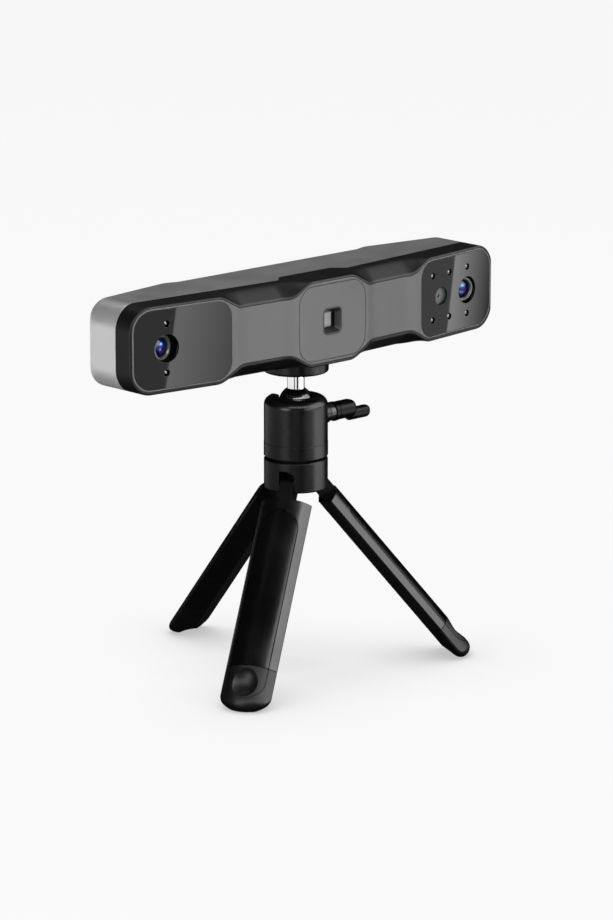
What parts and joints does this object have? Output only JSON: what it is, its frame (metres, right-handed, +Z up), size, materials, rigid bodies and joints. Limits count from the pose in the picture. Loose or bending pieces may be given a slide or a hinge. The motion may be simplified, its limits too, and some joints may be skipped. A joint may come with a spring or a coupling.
{
  "type": "handheld scanner",
  "caption": "Wide-bar 3-D scanner with cameras, lamps and a pattern projector behind dark windows, on a ball head with folding tripod legs.",
  "frame": {"origin": "on the floor under the tripod axis", "axes": "+Z up along the tripod axis, -Y the way the scanner looks, X along the bar"},
  "size_m": [0.295, 0.1741, 0.2429],
  "materials": {
    "silver_shell": "satin",
    "bezel_black": "satin",
    "face_grey": "satin",
    "window_black": "polished",
    "funnel_grey": "satin",
    "clear_glass": "polished",
    "emitter_pale": "satin",
    "module_black": "matt",
    "barrel_grey": "satin",
    "lens_blue": "polished",
    "lamp_dark": "polished",
    "lamp_clear": "polished",
    "frame_metal": "matt",
    "board_green": "satin",
    "steel": "brushed",
    "black_steel": "satin",
    "light_pipe": "polished",
    "brass": "machined",
    "key_black": "satin",
    "ball_black": "polished",
    "chrome": "polished",
    "head_black": "satin",
    "pad_rubber": "matt",
    "seat_plastic": "satin",
    "knob_black": "satin",
    "leg_black": "satin",
    "inlay_black": "satin",
    "foot_rubber": "matt"
  },
  "bodies": {
    "hub": {"hub": "head_black", "hinge_pins": "steel", "pan_screw": "steel", "pan_washer": "pad_rubber"},
    "left_leg": {"left_leg": "leg_black", "left_inlay": "inlay_black", "left_foot": "foot_rubber"},
    "right_leg": {"right_leg": "leg_black", "right_inlay": "inlay_black", "right_foot": "foot_rubber"},
    "rear_leg": {"rear_leg": "leg_black", "rear_inlay": "inlay_black", "rear_foot": "foot_rubber"},
    "head": {"head_housing": "head_black", "head_base": "head_black", "ball_seat": "seat_plastic"},
    "lock_screw": {"lock_screw": "black_steel"},
    "lock_knob": {"lock_knob": "knob_black"},
    "ball": {"ball": "ball_black", "ball_stem": "chrome", "platform": "head_black", "platform_pad": "pad_rubber"},
    "scanner": {"rear_housing": "silver_shell", "front_bezel": "bezel_black", "face_plate": "face_grey", "left_window": "window_black", "right_window": "window_black", "centre_plate": "face_grey", "projector_frame": "funnel_grey", "projector_window": "clear_glass", "projector_emitter": "emitter_pale", "projector_module": "module_black", "left_camera_barrel": "barrel_grey", "left_camera_lens": "lens_blue", "right_camera_barrel": "barrel_grey", "right_camera_lens": "lens_blue", "colour_camera_barrel": "barrel_grey", "colour_camera_lens": "lens_blue", "infrared_lamps": "lamp_dark", "fill_lamps": "lamp_clear", "optical_frame": "frame_metal", "main_board": "board_green", "left_camera_board": "board_green", "right_camera_board": "board_green", "key_board": "board_green", "usb_port": "steel", "status_light": "light_pipe", "tripod_insert": "brass", "housing_screws": "steel"},
    "scan_button": {"scan_button": "key_black"},
    "plus_key": {"plus_key": "key_black"},
    "minus_key": {"minus_key": "key_black"}
  },
  "joints": [
    {"name": "left_leg_fold", "type": "hinge", "parent": "hub", "child": "left_leg", "pos_m": [-0.01153, -0.00642, 0.11407], "axis": [0.4863, -0.8738, 0], "range_deg": [0, 39.1]},
    {"name": "right_leg_fold", "type": "hinge", "parent": "hub", "child": "right_leg", "pos_m": [0.01133, -0.00678, 0.11407], "axis": [0.5135, 0.8581, 0], "range_deg": [0, 39.1]},
    {"name": "rear_leg_fold", "type": "hinge", "parent": "hub", "child": "rear_leg", "pos_m": [0.00021, 0.0132, 0.11407], "axis": [-0.9999, 0.0157, 0], "range_deg": [0, 39.1]},
    {"name": "head_pan", "type": "hinge", "parent": "hub", "child": "head", "pos_m": [0, 0, 0.13087], "axis": [0, 0, 1], "continuous": true},
    {"name": "lock_travel", "type": "slide", "parent": "head", "child": "lock_screw", "axis": [1, 0, 0], "range_m": [0, 0.001]},
    {"name": "lock_turn", "type": "hinge", "parent": "lock_screw", "child": "lock_knob", "pos_m": [0.029, 0, 0.15217], "axis": [1, 0, 0], "range_deg": [0, 360]},
    {"name": "ball_tilt", "type": "hinge", "parent": "head", "child": "ball", "pos_m": [0, 0, 0.16277], "axis": [-1, 0, 0], "range_deg": [-36, 84]},
    {"name": "scanner_turn", "type": "hinge", "parent": "ball", "child": "scanner", "pos_m": [0, 0, 0.19087], "axis": [0, 0, 1], "continuous": true},
    {"name": "scan_button_press", "type": "slide", "parent": "scanner", "child": "scan_button", "axis": [0, -1, 0], "range_m": [0, 0.0008], "stiffness_N_per_m": 600, "springref_m": -0.0005},
    {"name": "plus_key_press", "type": "slide", "parent": "scanner", "child": "plus_key", "axis": [0, -1, 0], "range_m": [0, 0.0006], "stiffness_N_per_m": 600, "springref_m": -0.0005},
    {"name": "minus_key_press", "type": "slide", "parent": "scanner", "child": "minus_key", "axis": [0, -1, 0], "range_m": [0, 0.0006], "stiffness_N_per_m": 600, "springref_m": -0.0005}
  ],
  "couplings": [
    {"joint": "lock_turn", "follows": "lock_travel", "rad_per_m": 6283.2}
  ]
}
